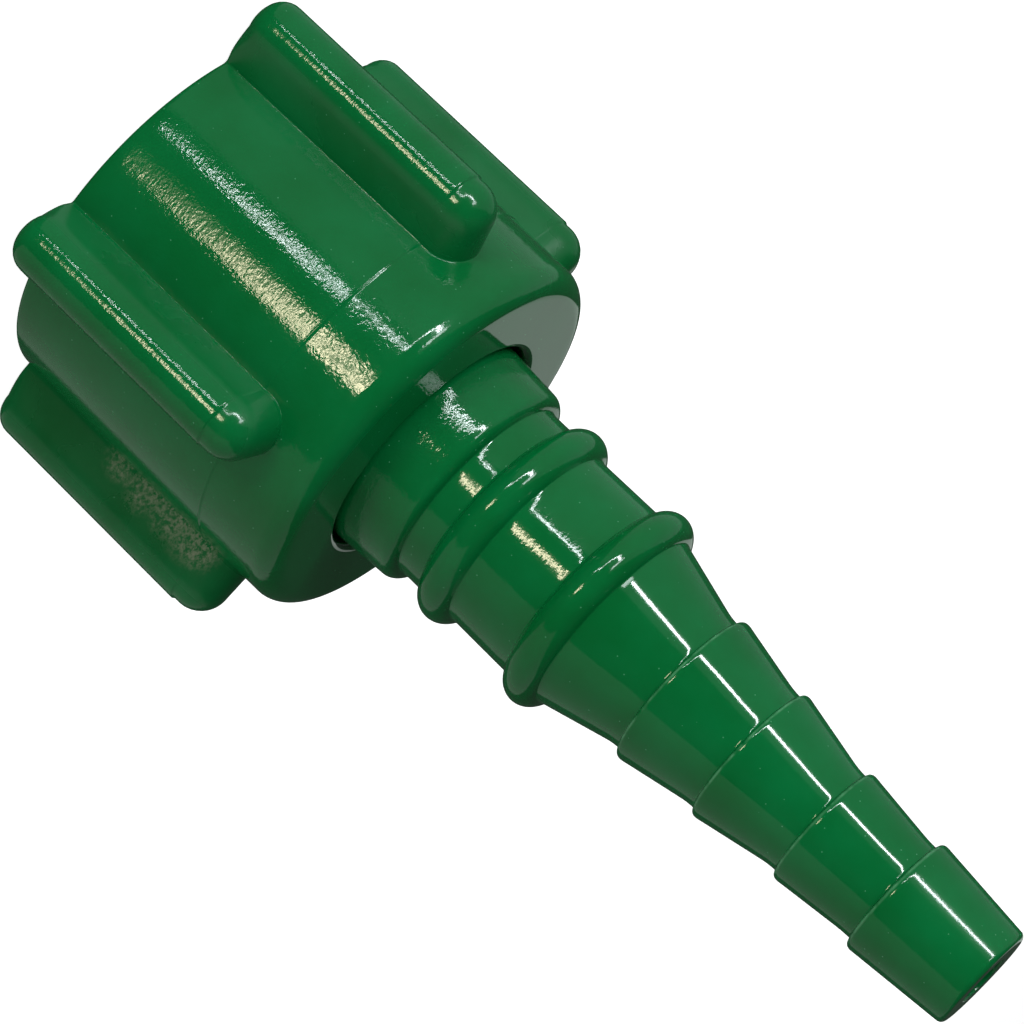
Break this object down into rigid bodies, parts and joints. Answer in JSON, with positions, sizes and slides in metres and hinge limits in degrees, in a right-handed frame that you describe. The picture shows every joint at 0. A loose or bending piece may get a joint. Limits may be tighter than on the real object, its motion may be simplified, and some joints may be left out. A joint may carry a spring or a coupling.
{
  "type": "oxygen tubing adapter",
  "caption": "Adapter that joins soft oxygen tubing to a threaded gas outlet: a winged swivel nut on a stepped barbed hose nipple, in glossy green moulded plastic.",
  "frame": {"origin": "centre of the nut's open rim, in the plane of the rim face that the adapter stands on", "axes": "+Z along the shared axis from the rim towards the barbed tip, +X through the crest of one wing, +Y completes the right-handed frame"},
  "size_m": [0.0238, 0.025, 0.0496],
  "materials": {
    "green_nut": "glossy green moulding with fine ripple",
    "green_nipple": "glossy green moulding"
  },
  "bodies": {
    "nipple": {"barbed_nipple": "green_nipple"},
    "nut": {"wing_nut": "green_nut"}
  },
  "joints": [
    {"name": "nut_swivel", "type": "hinge", "parent": "nipple", "child": "nut", "pos_m": [0, 0, 0.0139], "axis": [0, 0, 1], "continuous": true}
  ]
}
